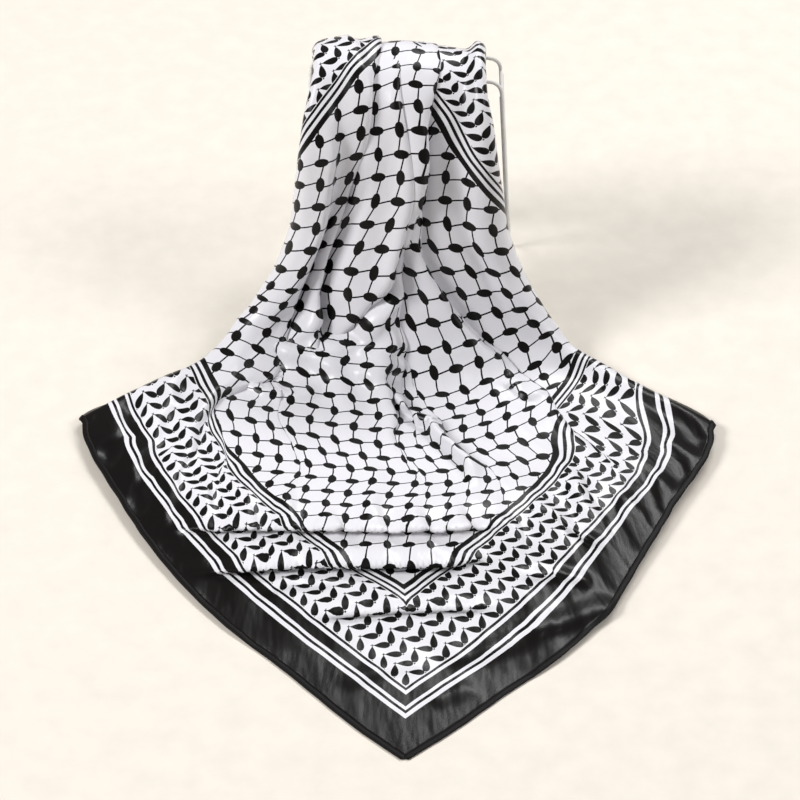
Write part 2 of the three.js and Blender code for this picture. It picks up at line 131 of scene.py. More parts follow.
RIGHT_FOLD = np.array([
    (0, 0, 0, 0, 0),
    (43, 43, 43, 34, 0),
    (93, 93, 90, 77, 0),
    (141, 141, 137, 117, 3),
    (199, 199, 185, 175, 5),
    (249, 249, 214, 232, 7),
    (301, 301, 244, 292, 9),
    (394, 394, 290, 397, 10),
    (440, 356, 222, 453, 13),
    (504, 318, 176, 484, 18),
    (570, 306, 138, 502, 36),
    (637, 312, 106, 519, 73),
    (705, 326, 83, 540, 133),
    (772, 318, 76, 552, 198),
    (817, 300, 73, 574, 236),
    (862, 285, 70, 602, 263),
    (892, 274, 70, 632, 271),
    (920, 262, 71, 660, 263),
    (945, 250, 71, 680, 240),
    (1020, 228, 73, 694, 166),
    (1130, 143, 56, 710, 55),
    (1165, 108, 48, 724, 22),
    (1195, 78, 40, 746, 8),
    (DIAGONAL, 0, 0, 828, 0),
])

# Where cloth is tucked away between the pleats: "across" at four places along the scarf, half the
# width of the tuck, and how strongly it draws cloth in at the same four places
TUCK_ALONG = (300, 430, 545, 600, 660, 727, 860, 1020, 1130, 1200)
TUCKS = (
    ("outer left", (-200, -225, -235, -240, -238, -236, -212, -160, -100, -50), 26,
     (0, 0.3, 0.5, 0.7, 0.8, 0.5, 0.1, 0.2, 0.3, 0)),
    ("left ridge", (-90, -120, -148, -165, -170, -180, -160, -110, -70, -35), 40,
     (0, 0.3, 0.6, 0.8, 0.9, 0.9, 1.0, 0.8, 0.5, 0)),
    ("main edge", (-200, -250, -175, -80, -28, -34, -48, -40, -25, -10), 40,
     (0, 0.2, 0.7, 1.0, 1.0, 1.0, 1.0, 0.8, 0.5, 0)),
    ("second ridge", (20, 30, 42, 48, 52, 68, 86, 60, 35, 15), 42,
     (0, 0.3, 0.6, 0.8, 0.9, 1.0, 1.0, 0.8, 0.5, 0)),
    ("right valley", (90, 110, 105, 100, 108, 150, 160, 120, 75, 35), 34,
     (0, 0.4, 0.6, 0.8, 0.9, 1.0, 0.9, 0.8, 0.5, 0)),
    ("right ridge", (200, 262, 240, 224, 212, 232, 222, 170, 105, 50), 30,
     (0, 0.4, 0.7, 0.9, 0.9, 0.7, 0.5, 0.5, 0.4, 0)),
)
# Room behind the turned layer that the pleats may take too, and how deep that layer's waves are
ROOM_ALONG = (0, 470, 560, 620, 780, 830, 900, 1000, 1130, 1190, 1273)
ROOM_MORE = (0, 0, 6, 12, 13, 5, 2, 9, 11, 2, 0)
UNDER_WAVES = (0.1, 0.1, 0.4, 0.55, 0.5, 0.15, 0.1, 0.3, 0.3, 0.1, 0.1)
LAYER_GAP = 3.0
# The share of a tuck's half width over which its bump rises
TUCK_RISE = 0.45
# The ripple between the tucks, how its crests drift, and where it grows stronger for the back
RIPPLE, BACK_RIPPLE, RIPPLE_LENGTH, RIPPLE_DRIFT = 0.22, 1.0, 47.0, 90.0
BACK_FROM, BACK_TO = 925.0, 1000.0
# The share of its width that spread cloth keeps, and where the gathering starts
SLACK = 0.97
LEAST_SHARE = 0.05
SPREAD_FROM, SPREAD_TO = 225.0, 330.0
# The steepest turn of a pleat in radians, and the length over which its depth leaks away
STEEPEST = 2.9
RETURN_LENGTH = 55.0
HALVINGS = 30
# Next to its two folded sides a section has no depth, over this share of it
SIDE_EASE = 0.08
# The smallest and the largest share of its length that the layer under the folded sides keeps, the
# length of its waves, and how far it stays from the middle
TIGHTEST, FLATTEST = 0.2, 0.97
UNDER_PLEAT, UNDER_CLEAR = 64.0, 14.0
# The power of the line from the middle to the fold, and how far past the fold it goes on
SECTION_POWER = 1.7
PAST_FOLD = 1.2
# Where the cloth comes to lie on the layer folded under it, and the step that measures slopes
RISE_FROM, RISE_TO = 330.0, 392.0
SLOPE_STEP = 4.0
print("sections:", len(MIDDLE), "in the middle,", len(LEFT_FOLD), "left,", len(RIGHT_FOLD), "right")


# %% Curves through the tables
def smooth_step(value, start, end):
    """0 before start and 1 after end; between them 3 times the share squared less 2 times its cube."""
    share = np.clip((value - start) / (end - start), 0, 1)
    return share * share * (3 - 2 * share)


def curve_through(at, value):
    """A cubic between each two rows. Its slope at a row is the harmonic mean of the slopes beside it,
    or 0 where they turn, so the curve never overshoots the table."""
    step = np.diff(at)
    rise = np.diff(value) / step
    product = rise[:-1] * rise[1:]
    total = np.where(product > 0, rise[:-1] + rise[1:], 1)
    slope = np.concatenate([rise[:1], np.where(product > 0, 2 * product / total, 0), rise[-1:]])

    def curve(t):
        t = np.clip(t, at[0], at[-1])
        i = np.clip(np.searchsorted(at, t, side="right") - 1, 0, len(step) - 1)
        u = (t - at[i]) / step[i]
        v = 1 - u
        ends = value[i] * v * v * (1 + 2 * u) + value[i + 1] * u * u * (3 - 2 * u)
        return ends + step[i] * u * v * (slope[i] * v - slope[i + 1] * u)

    return curve


def curves_of(table, columns):
    """One curve for each named column of a table, over the first column."""
    return {name: curve_through(table[:, 0], table[:, k]) for k, name in enumerate(columns) if k}


middle = curves_of(MIDDLE, MIDDLE_COLUMNS)
left_fold = curves_of(LEFT_FOLD, FOLD_COLUMNS)
right_fold = curves_of(RIGHT_FOLD, FOLD_COLUMNS)
print("crest of the drape:", round(float(middle["z"](892.0)), 1), "mm high")

# %% [markdown]
# ## Pleats
# Gathered satin keeps its length: it goes out in a flat panel, turns back under the panel's edge
# and comes out again. So the tables say in which direction the cloth heads at each place of a
# section, and its path is the sum of these small steps. How strongly all the tucks of one section
# turn is solved, so that the cloth between its two folded sides fits the width that it has.

# %% Sections summed up on a grid
ROWS = np.linspace(0, DIAGONAL, 561)
SHARES = np.linspace(-1, 1, 1001)
room_more = curve_through(np.array(ROOM_ALONG, float), np.array(ROOM_MORE, float))
under_waves = curve_through(np.array(ROOM_ALONG, float), np.array(UNDER_WAVES, float))


def side_cut(fold, along):
    """How much of the cloth lies in front between the middle and the fold."""
    reach = np.clip(np.minimum(along, DIAGONAL - along), 0, None)
    return np.maximum(np.minimum(fold["across"](along), reach), 0.001)


def heading(along, across):
    """The direction of the cloth at each place of a section: a rounded bump for each tuck, flat over
    the inner half of its width, and a weak ripple. 0 runs straight out."""
    ripple = RIPPLE + BACK_RIPPLE * smooth_step(along, BACK_FROM, BACK_TO)
    angle = ripple * np.sin(2 * np.pi * across / RIPPLE_LENGTH + along / RIPPLE_DRIFT)
    for _, place, half, weight in TUCKS:
        centre = curve_through(np.array(TUCK_ALONG, float), np.array(place, float))(along)
        strength = curve_through(np.array(TUCK_ALONG, float), np.array(weight, float))(along)
        angle = angle + strength * smooth_step(1 - np.abs(across - centre) / half, 0, TUCK_RISE)
    return angle


def sum_sections():
    """x and depth of the cloth between its two folds: x is the sum of cos(angle), depth the sum of
    sin(angle), which leaks away over the return length so that each panel rises to the crests again.
    The factor of the angle is found by halving."""
    along = ROWS[:, None] + 0 * SHARES
    cuts = side_cut(left_fold, ROWS), side_cut(right_fold, ROWS)
    across = np.where(SHARES < 0, SHARES * cuts[0][:, None], SHARES * cuts[1][:, None])
    step = np.gradient(across, axis=1)
    angle = heading(along, across)
    width = right_fold["x"](ROWS) - left_fold["x"](ROWS)
    share = np.clip(width / np.maximum(cuts[0] + cuts[1], 0.01), LEAST_SHARE, SLACK)
    share = SLACK + (share - SLACK) * smooth_step(ROWS, SPREAD_FROM, SPREAD_TO)
    wanted = share * (cuts[0] + cuts[1])
    low, high = np.zeros(len(ROWS)), np.full(len(ROWS), STEEPEST)
    for _ in range(HALVINGS):
        factor = (low + high) / 2
        turned = np.clip(angle * factor[:, None], -STEEPEST, STEEPEST)
        too_wide = (np.cos(turned) * step).sum(axis=1) > wanted
        low, high = np.where(too_wide, factor, low), np.where(too_wide, high, factor)
    out = np.cumsum(np.cos(turned) * step, axis=1)
    out = (out - out[:, :1]) / np.maximum(out[:, -1:] - out[:, :1], 0.001)
    x = left_fold["x"](ROWS)[:, None] + out * width[:, None]
    grow = np.exp(across / RETURN_LENGTH)
    deep = np.cumsum(np.sin(turned) * step * grow, axis=1) / grow
    deep = np.maximum(deep, 0) * smooth_step(1 - np.abs(SHARES), 0, SIDE_EASE)
    room = np.maximum(middle["behind"](ROWS) + room_more(ROWS) - LAYER_GAP, 0.5)[:, None]
    return x, room * np.tanh(deep / room)


section_x, section_deep = sum_sections()


def sampled(table, along, share):
    """The value of a table between its four nearest entries."""
    row = np.clip(along / DIAGONAL * (len(ROWS) - 1), 0, len(ROWS) - 1.001)
    column = np.clip((share + 1) / 2 * (len(SHARES) - 1), 0, len(SHARES) - 1.001)
    i, j = row.astype(int), column.astype(int)
    u, v = row - i, column - j
    near = table[i, j] * (1 - v) + table[i, j + 1] * v
    far = table[i + 1, j] * (1 - v) + table[i + 1, j + 1] * v
    return near * (1 - u) + far * u


print("sections:", section_x.shape, "deepest pleat", round(float(section_deep.max()), 1), "mm")


# %% The turned edge and the whole drape
def turned_edge(along, run, cut, width):
    """How far out and in the cloth lies past its fold: half a circle, then back towards the middle in
    low waves, and how far round the half circle it has come. The swing is the largest slope, as an
    angle, of waves that keep this share of their length, and the series sums up their height."""
    reach = np.clip(np.minimum(along, DIAGONAL - along), 0, None)
    radius = middle["behind"](along) / 2
    past = run - cut
    angle = np.clip(past / radius, 0, np.pi)
    rest = np.clip(past - np.pi * radius, 0, None)
    free = np.maximum(reach - cut - np.pi * radius, 0.001)
    kept = np.clip((width - UNDER_CLEAR) / free, TIGHTEST, FLATTEST)
    swing = np.sqrt(8 * (1 - np.sqrt(kept)))
    crest = UNDER_PLEAT / (2 * np.pi) * (swing - swing**3 / 9 + swing**5 / 225) * under_waves(along)
    crest = crest * (1 - np.cos(2 * np.pi * rest / UNDER_PLEAT)) * smooth_step(rest, 0, UNDER_PLEAT / 2)
    crest = crest + room_more(along) * smooth_step(rest, 0, UNDER_PLEAT)
    out = width + radius * np.sin(angle) - kept * rest
    return out, radius * (1 - np.cos(angle)) + crest, angle / np.pi


def drape(along, across):
    """The point in space, in millimetres from the front corner, of each point of the flat cloth.
    Base = middle + (fold - middle) times (out / width) to the power 1.7, and the pleat's depth goes
    square to the middle line's slope. Nothing lies lower than half the cloth's thickness."""
    is_left = across < 0
    run = np.abs(across)
    cut = np.where(is_left, side_cut(left_fold, along), side_cut(right_fold, along))
    centre = middle["x"](along)
    share = np.clip(across / cut, -1, 1)
    x = sampled(section_x, along, share)
    deep = sampled(section_deep, along, share)
    fold_x = np.where(is_left, left_fold["x"](along), right_fold["x"](along))
    past_out, past_deep, round_edge = turned_edge(along, run, cut, np.abs(fold_x - centre))
    past = run > cut
    x = np.where(past, centre + np.where(is_left, -1, 1) * past_out, x)
    deep = np.where(past, past_deep, deep)
    under = np.where(past, round_edge, 0)
    on_left = x < centre
    width = np.where(on_left, centre - left_fold["x"](along), right_fold["x"](along) - centre)
    share = np.clip(np.abs(x - centre) / np.maximum(width, 0.001), 0, PAST_FOLD) ** SECTION_POWER
    base = {}
    for name in ("y", "z"):
        fold = np.where(on_left, left_fold[name](along), right_fold[name](along))
        base[name] = middle[name](along) + (fold - middle[name](along)) * share
    slope_y = middle["y"](along + SLOPE_STEP) - middle["y"](along - SLOPE_STEP)
    slope_z = middle["z"](along + SLOPE_STEP) - middle["z"](along - SLOPE_STEP)
    length = np.hypot(slope_y, slope_z)
    lift = smooth_step(along, RISE_FROM, RISE_TO) * (1 - np.clip(2 * under, 0, 1))
    ground = CLOTH / 2 + lift * (CLOTH + FLOOR_GAP)
    y = base["y"] + slope_z / length * deep
    z = np.maximum(base["z"] - slope_y / length * deep, ground)
    return np.stack([x, y, z], axis=-1)


print("middle of the scarf lies at", drape(np.array([HALF]), np.array([0.0])).round(1))

# %% [markdown]
# ## Small folds
# The large pleats carry smaller ones: a tube of cloth that snakes over the floor, creases where
# the satin lies over itself, and low ridges beside the pleats. Each is a bump along a bent line
# in the flat cloth, raised along the cloth's normal. Leaning a bump sideways by more than its
# half width makes it hang over, which is what a real crease does.

# %% Table of small folds
# The line as (along, across) points, then half width, height and lean, all in millimetres
SMALL_FOLDS = (
    (((280, -252), (292, -200), (301, -150), (308, -63), (311, 25), (306, 125)), 12, 6, 12),
    (((230, -214), (243, -146), (253, -85), (256, 5), (254, 100)), 12, 7, 14),
    (((174, -95), (181, 0), (188, 90)), 10, 5, 9),
    (((560, 22), (548, 34), (525, 50), (492, 90), (443, 97), (417, 95), (378, 78)), 15, 12, 7),
    (((545, 205), (526, 216), (505, 216), (490, 232)), 10, 6, 4),
    (((328, 172), (296, 184), (262, 214)), 11, 4.5, 5),
    (((160, 100), (176, 140), (206, 206)), 15, 3.5, 4),
    (((545, -120), (591, -32), (622, 5), (641, 24), (700, 28), (780, 34), (850, 36)), 15, 5, 7),
    (((560, -225), (600, -200), (650, -150), (715, -126), (780, -118)), 14, 4, 5),
    (((120, 30), (140, 80), (168, 130)), 16, 2.5, 2),
    (((520, -230), (505, -160), (512, -100), (540, -50)), 15, 6, 6),
    (((90, -60), (112, -20), (118, 22)), 16, 1.8, 2),
    (((70, 20), (96, 62)), 14, 1.6, 1),
    (((200, -150), (214, -110), (212, -60)), 12, 3, 4),
    (((226, 110), (232, 150), (222, 190)), 12, 3.5, 4),
)
# The shares of its length over which a fold fades out at each end
TAPER_FROM, TAPER_TO = -0.02, 0.2

# %% Bumps on the drape
def along_normal(point_at, along, across, step=1.5):
    """Unit tangents and the normal of a surface, from points a small step to each side."""
    run = point_at(along + step, across) - point_at(along - step, across)
    side = point_at(along, across + step) - point_at(along, across - step)
    normal = np.cross(side, run)
    unit = [v / np.maximum(np.linalg.norm(v, axis=-1, keepdims=True), 1e-9) for v in (run, side, normal)]
    return unit


def nearest_on_line(points, along, across):
    """For each place, the nearest stretch of a bent line: the signed distance from it, the share of
    the line's length that it lies at, and the direction square to it."""
    points = np.array(points, float)
    runs = np.diff(points, axis=0)
    lengths = np.hypot(*runs.T)
    whole = lengths.sum()
    best = np.full(along.shape, np.inf)
    found = [np.zeros_like(along) for _ in range(4)]
    for start, run, length, before in zip(points, runs, lengths, np.cumsum(lengths) - lengths):
        on = run / length
        raw = (along - start[0]) * on[0] + (across - start[1]) * on[1]
        along_line = np.clip(raw, 0, length)
        off = (across - start[1]) * on[0] - (along - start[0]) * on[1]
        away = np.hypot(off, raw - along_line)
        nearer = away < best
        best = np.where(nearer, away, best)
        new = (np.where(off < 0, -away, away), (before + along_line) / whole, -on[1], on[0])
        found = [np.where(nearer, one, old) for one, old in zip(new, found)]
    return found


def fold_bumps(along, across):
    """Height along the normal and the lean in the two directions of the cloth: for each fold
    (1 + cos(pi d)) / 2, d being the distance from its line over its half width, times a taper."""
    height = np.zeros_like(along)
    lean_along = np.zeros_like(along)
    lean_across = np.zeros_like(along)
    for points, half, high, lean in SMALL_FOLDS:
        off, share, off_along, off_across = nearest_on_line(points, along, across)
        bump = (1 + np.cos(np.pi * np.clip(off / half, -1, 1))) / 2
        bump = bump * smooth_step(np.minimum(share, 1 - share), TAPER_FROM, TAPER_TO)
        height = height + high * bump
        lean_along = lean_along + lean * bump * off_along
        lean_across = lean_across + lean * bump * off_across
    return height, lean_along, lean_across


print("small folds:", len(SMALL_FOLDS))

# %% Low waves, and the cloth with everything on it
# Heights of the three waves and of the level that they swing about, in millimetres
WIDE_WAVE, NARROW_WAVE, SLANTED_WAVE, WAVE_LEVEL = 0.45, 0.3, 0.3, 0.6
# Where they grow from nothing: on from the front corner, and inwards from a side of the square
WAVES_FROM, WAVES_TO = 90.0, 260.0
INSIDE_FROM, INSIDE_TO = 8.0, 90.0


def soft_waves(along, across):
    """Low waves that satin keeps everywhere: products of two sines with unlike directions and
    lengths. A sine inside another one makes its crests wander."""
    wide = np.sin(along / 17 + 0.7 * np.sin(across / 41)) * np.sin(across / 29 + 0.4)
    narrow = np.sin(across / 9.5 + 1.2 * np.sin(along / 33) + 0.3) * np.sin(along / 47 + 1)
    slanted = np.sin((along + across) / 12 + 2) * np.sin((along - across) / 31)
    wave = WIDE_WAVE * wide + NARROW_WAVE * narrow + SLANTED_WAVE * slanted + WAVE_LEVEL
    inside = np.minimum(along, DIAGONAL - along) - np.abs(across)
    return wave * smooth_step(along, WAVES_FROM, WAVES_TO) * smooth_step(inside, INSIDE_FROM, INSIDE_TO)


def cloth_surface(along, across):
    """The drape with its small folds and low waves."""
    run, side, normal = along_normal(drape, along, across)
    height, lean_along, lean_across = fold_bumps(along, across)
    height = height + soft_waves(along, across)
    point = drape(along, across) + normal * height[..., None]
    point = point + run * lean_along[..., None] + side * lean_across[..., None]
    point[..., 2] = np.maximum(point[..., 2], CLOTH / 2)
    return point


print("the front corner lies at", cloth_surface(np.zeros(1), np.zeros(1)).round(1))

# %% [markdown]
# ## Turning arrays into pieces
# Every surface below is a grid of points. One helper joins neighbouring points by four-sided
# faces and puts the whole array into a mesh at once. Its object stays at the origin, so that the
# place of the piece is in its vertices, as in the solids.


# %% Helpers that make a mesh
def to_frame(point):
    """Millimetres from the front corner to metres in the shared frame."""
    return (point + CORNER_IN_FRAME) * MM


def grid_faces(rows, columns, closed=False, first=0):
    """Corner numbers of the faces of a grid, row by row; closed joins the last column to the first."""
    number = first + np.arange(rows * columns).reshape(rows, columns)
    if closed:
        number = np.concatenate([number, number[:, :1]], axis=1)
    corners = (number[:-1, :-1], number[:-1, 1:], number[1:, 1:], number[1:, :-1])
    return np.stack(corners, axis=-1).reshape(-1, 4)


def make_piece(name, points, faces, uv=None):
    """A smooth mesh from points in metres and faces, a list of arrays of corner numbers."""
    mesh = bpy.data.meshes.new(name)
    mesh.from_pydata(points.reshape(-1, 3), [], [face for block in faces for face in block.tolist()])
    mesh.polygons.foreach_set("use_smooth", np.ones(len(mesh.polygons), dtype=bool))
    if uv is not None:
        corner = np.empty(len(mesh.loops), dtype=np.int32)
        mesh.loops.foreach_get("vertex_index", corner)
        layer = mesh.uv_layers.new(name="cut")
        layer.data.foreach_set("uv", uv.reshape(-1, 2)[corner].astype(np.float32).ravel())
    mesh.update()
    piece = bpy.data.objects.new(name, mesh)
    bpy.context.scene.collection.objects.link(piece)
    return piece


def finish_piece(piece, material, slot, *nodes):
    """Gives a piece its material, hangs it under the root body and hides the named solids that it takes
    the place of.
    """
    piece.data.materials.append(material)
    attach(piece, "root")
    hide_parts(*nodes)
    return piece


print("row frame starts at", to_frame(np.zeros(3)))

# %% [markdown]
# ## Sums in a material
# A print is arithmetic on the cloth's own coordinates: distances, remainders and comparisons.
# Writing each sum as a chain of nodes by hand hides what it says, so a small class wraps a
# socket, and plain Python operators add the nodes.


# %% A material's nodes as Python values
class Value:
    """A socket of a material whose sums are written with Python's operators."""

    def __init__(self, paint, socket):
        self.paint = paint
        self.socket = socket

    def maths(self, operation, *others):
        inputs = dict(enumerate((self, *others)))
        return self.paint.node("ShaderNodeMath", {"operation": operation}, inputs)

    def __add__(self, other):
        return self.maths("ADD", other)

    def __radd__(self, other):
        return self.maths("ADD", other)

    def __sub__(self, other):
        return self.maths("SUBTRACT", other)

    def __rsub__(self, other):
        return self.paint.node("ShaderNodeMath", {"operation": "SUBTRACT"}, {0: other, 1: self})

    def __mul__(self, other):
        return self.maths("MULTIPLY", other)

    def __rmul__(self, other):
        return self.maths("MULTIPLY", other)

    def __truediv__(self, other):
        return self.maths("DIVIDE", other)

    def __gt__(self, other):
        return self.maths("GREATER_THAN", other)

    def __lt__(self, other):
        return self.maths("LESS_THAN", other)

    def __abs__(self):
        return self.maths("ABSOLUTE")

    def root(self):
        return self.maths("SQRT")

    def sign(self):
        return self.maths("SIGN")

    def nearest(self):
        return self.maths("ROUND")

    def largest(self, other):
        return self.maths("MAXIMUM", other)

    def remainder(self, other):
        return self.maths("FLOORED_MODULO", other)

    def between(self, low, high):
        return (self > low) * (self < high)


class Paint:
    """One material and its nodes."""

    def __init__(self, name):
        self.material = bpy.data.materials.new(name)
        self.material.use_nodes = True
        self.tree = self.material.node_tree
        self.tree.nodes.clear()

    def node(self, kind, settings=None, inputs=None, output=0):
        """Adds a node: its settings first, then each socket's value or link."""
        made = self.tree.nodes.new(kind)
        for name, value in (settings or {}).items():
            setattr(made, name, value)
        for key, value in (inputs or {}).items():
            if isinstance(value, Value):
                self.tree.links.new(value.socket, made.inputs[key])
            else:
                made.inputs[key].default_value = value
        return Value(self, made.outputs[output]) if made.outputs else None

    def finish(self, **inputs):
        """The surface shader, whose sockets are named with underscores, and the output."""
        sockets = {name.replace("_", " "): value for name, value in inputs.items()}
        shader = self.node("ShaderNodeBsdfPrincipled", {}, sockets)
        self.node("ShaderNodeOutputMaterial", {}, {"Surface": shader})
        return self.material


print("sums of a material are Python values")

# %% [markdown]
# ## The print
# The satin is printed in black on white. Everything is measured in repeats of the net, 40 to a
# side. Seen on the diagonal, a net of ovals fills the middle: lying and standing ovals take
# turns, and thin lines join each oval's tip to the flank of the next one, a little off its middle.
# Round the net run stripes, a band of leaves in stepped rows, stripes again and a wide border.
# The pattern is worked out from the flat cloth's coordinates, so it bends with every fold.

# %% The print's measures, in repeats of the net
REPEAT = SIDE / 40
NET_START = 10.3
OVAL_LONG, OVAL_SHORT = 0.325, 0.195
NET_LINE = 0.034
LINK_OFFSET = 0.1
# The lines start a little inside an oval: these shares of its half length and half width
TIP_START, FLANK_START = 0.96, 0.7
# From the edge of the cloth inwards: where each black stripe begins and ends
STRIPES = (
    (-1.0, 1.57), (1.75, 1.87), (2.01, 2.45), (2.6, 2.71),
    (5.81, 5.92), (6.07, 6.2), (6.36, 6.61),
)
LEAF_BAND = (2.76, 5.78)
LEAF_STEP = 0.78
LEAF_ROW = 0.47
LEAF_LONG, LEAF_WIDE = 0.34, 0.155
# (1 - l) times the root of (1 + l) is at most 1 over this
LEAF_FULLEST = 0.92
# The stem's half width, where it starts and ends over the leaf's half length, and the dot
STEM_HALF, STEM_FROM, STEM_TO = 0.018, 0.6, 1.35
DOT_AT, DOT_RADIUS = 1.16, 0.035


# %% The net of ovals
def net_of_ovals(s, t):
    """1 on the net's ovals and lines. In each cell x and y run along and across its oval:
    (x / long)^2 + (y / short)^2 < 1 is the oval, and two slanted lines leave its tips and flanks."""
    column = (s - 0.5).nearest()
    row = (t - NET_START).nearest()
    a = s - 0.5 - column
    b = t - NET_START - row
    standing = (column + row).remainder(2)
    x = a + (b - a) * standing
    y = b + (a - b) * standing
    oval = (x * x / OVAL_LONG**2 + y * y / OVAL_SHORT**2) < 1
    slant = LINK_OFFSET / (1 - OVAL_LONG - OVAL_SHORT)
    tip = abs(y - (x - x.sign() * OVAL_LONG) * slant) < NET_LINE
    tip = tip * (abs(x) > OVAL_LONG * TIP_START)
    flank = abs(x + y.sign() * LINK_OFFSET - (y - y.sign() * OVAL_SHORT) * slant) < NET_LINE
    flank = flank * (abs(y) > OVAL_SHORT * FLANK_START)
    return oval.largest(tip).largest(flank)


# %% The leaves
def wrapped(value, size):
    """The distance from the nearest multiple of size."""
    return value - (value / size).nearest() * size


def leaf_field(x, y):
    """1 on leaves whose round end points down y and whose tip points up it, stem and dot included.
    Half width = wide times (1 - l) times the root of (1 + l), l from -1 at the round end to 1."""
    up = wrapped(x + y, 2 * LEAF_STEP)
    down = wrapped(x - y, 2 * LEAF_ROW)
    side = (up + down) / 2
    along = (up - down) / 2
    length = along / LEAF_LONG
    body = LEAF_WIDE * LEAF_FULLEST * (1 - length) * (1 + length).largest(0).root()
    leaf = (abs(side) < body) * (abs(length) < 1)
    stem = (abs(side) < STEM_HALF) * along.between(LEAF_LONG * STEM_FROM, LEAF_LONG * STEM_TO)
    dot = (side * side + (along + LEAF_LONG * DOT_AT) * (along + LEAF_LONG * DOT_AT)) < DOT_RADIUS**2
    return leaf.largest(stem).largest(dot)


# %% The whole print
def print_mask(paint):
    """1 where the satin is printed black, from its place in the flat square."""
    cut = paint.node("ShaderNodeUVMap", {"uv_map": "cut"})
    s = paint.node("ShaderNodeSeparateXYZ", {}, {0: cut}, 0)
    t = paint.node("ShaderNodeSeparateXYZ", {}, {0: cut}, 1)
    half = HALF / REPEAT
    edge = (half - abs(t - half) - abs(s)) / np.sqrt(2)
    mask = net_of_ovals(s, t) * (edge > STRIPES[-1][1])
    standing = leaf_field(s, t + LEAF_STEP / 2)
    lying = leaf_field(-1 * t, -1 * (s - LEAF_STEP / 2))
    leaves = standing.largest(lying)
    mask = mask.largest(leaves * edge.between(*LEAF_BAND))
    for begins, ends in STRIPES:
        mask = mask.largest(edge.between(begins, ends))
    return mask, s, t


print("print: black stripes", len(STRIPES), "and a repeat of", REPEAT, "mm")


# %% [markdown]
# ## Satin
# Satin is woven so that long threads lie on top, which gives it a soft gloss with broad streaks.
# The gloss comes from a low roughness. A bump of long shallow creases and a faint one of fine
# threads break it up, and the black dye dulls it slightly.

# %% Satin and hem materials
WHITE = (0.75, 0.74, 0.78, 1.0)
BLACK = (0.0045, 0.0036, 0.0034, 1.0)
SATIN_ROUGHNESS, DYE_ROUGHNESS, SATIN_SPECULAR = 0.25, 0.05, 0.2
# Cells of noise in a repeat, across and along the cloth, and the depth of the bump in metres
CREASES = (1.3, 0.4, 0.0013)
THREADS = (240, 24, 0.00001)


def mixed(paint, factor, first, second):
    """One colour where factor is 0 and another where it is 1."""
    return paint.node("ShaderNodeMix", {"data_type": "RGBA"}, {0: factor, 6: first, 7: second}, 2)


def stretched_bump(paint, place, distance, below=None):
    """A bump of noise over the given place; below is the bump that it is laid over."""
    noise = paint.node("ShaderNodeTexNoise", {}, {"Vector": place, "Scale": 1.0, "Detail": 2.0})
    inputs = {"Height": noise, "Distance": distance, "Strength": 1.0}
    if below is not None:
        inputs["Normal"] = below
    return paint.node("ShaderNodeBump", {}, inputs)


def satin_surface(paint, s, t):
    """Long soft creases that run with the pleats, and over them the fine threads of the weave."""
    surface = None
    for cells_across, cells_along, depth in (CREASES, THREADS):
        place = paint.node("ShaderNodeCombineXYZ", {}, {0: s * cells_across, 1: t * cells_along})
        surface = stretched_bump(paint, place, depth, surface)
    return surface


def satin_material():
    paint = Paint("printed satin")
    mask, s, t = print_mask(paint)
    colour = mixed(paint, mask, WHITE, BLACK)
    return paint.finish(
        Base_Color=colour, Roughness=SATIN_ROUGHNESS + DYE_ROUGHNESS * mask,
        Specular_IOR_Level=SATIN_SPECULAR, Normal=satin_surface(paint, s, t),
    )


def plain_material(name, colour, roughness, grain, height, metallic=0.0, specular=0.5):
    """One colour with a fine grain, which also varies its gloss and its surface a little."""
    paint = Paint(name)
    place = paint.node("ShaderNodeTexCoord", {}, {}, 3)
    noise = paint.node("ShaderNodeTexNoise", {}, {"Vector": place, "Scale": grain, "Detail": 3.0})
    bump = paint.node("ShaderNodeBump", {}, {"Height": noise, "Distance": height, "Strength": 0.6})
    shade = mixed(paint, noise, colour, tuple(0.86 * c for c in colour[:3]) + (1.0,))
    return paint.finish(
        Base_Color=shade, Roughness=roughness - 0.05 + 0.1 * noise, Metallic=metallic, Normal=bump,
        Specular_IOR_Level=specular,
    )


satin = satin_material()
hem_black = plain_material("rolled hem", BLACK, 0.5, 2200.0, 0.00005, specular=0.15)
thread = plain_material("sewing thread", (0.05, 0.045, 0.045, 1.0), 0.5, 3000.0, 0.00003)
print("satin nodes:", len(satin.node_tree.nodes))

# %% [markdown]
# ## The square of satin
# The square is a grid along its own two sides, so that its straight edges stay straight rows. It
# has an upper and a lower skin half a millimetre apart, joined round the edge, because a real
# cloth has two sides and the part is seen from below too.

# %% Cloth
CLOTH_STEPS = 216
SKIN = 0.5
TUCK_IN = 3.0


def closed_wall(point_at, along, across, thickness):
    """Two skins of a surface, half a thickness each way along its normal, and the rim faces."""
    normal = along_normal(point_at, along, across)[2]
    middle_skin = point_at(along, across)
    skins = np.stack([middle_skin + normal * thickness / 2, middle_skin - normal * thickness / 2])
    skins[..., 2] = np.maximum(skins[..., 2], 0)
    rows, columns = along.shape
    number = np.arange(2 * rows * columns).reshape(2, rows, columns)
    upper = grid_faces(rows, columns)
    lower = grid_faces(rows, columns, first=rows * columns)[:, ::-1]
    ring = [number[:, 0, :-1], number[:, :-1, -1], number[:, -1, :0:-1], number[:, :0:-1, 0]]
    rim = np.concatenate(ring, axis=1)
    ahead = np.roll(rim, -1, axis=1)
    edge = np.stack([rim[0], rim[1], ahead[1], ahead[0]], axis=-1)
    return skins, [upper, lower, edge]


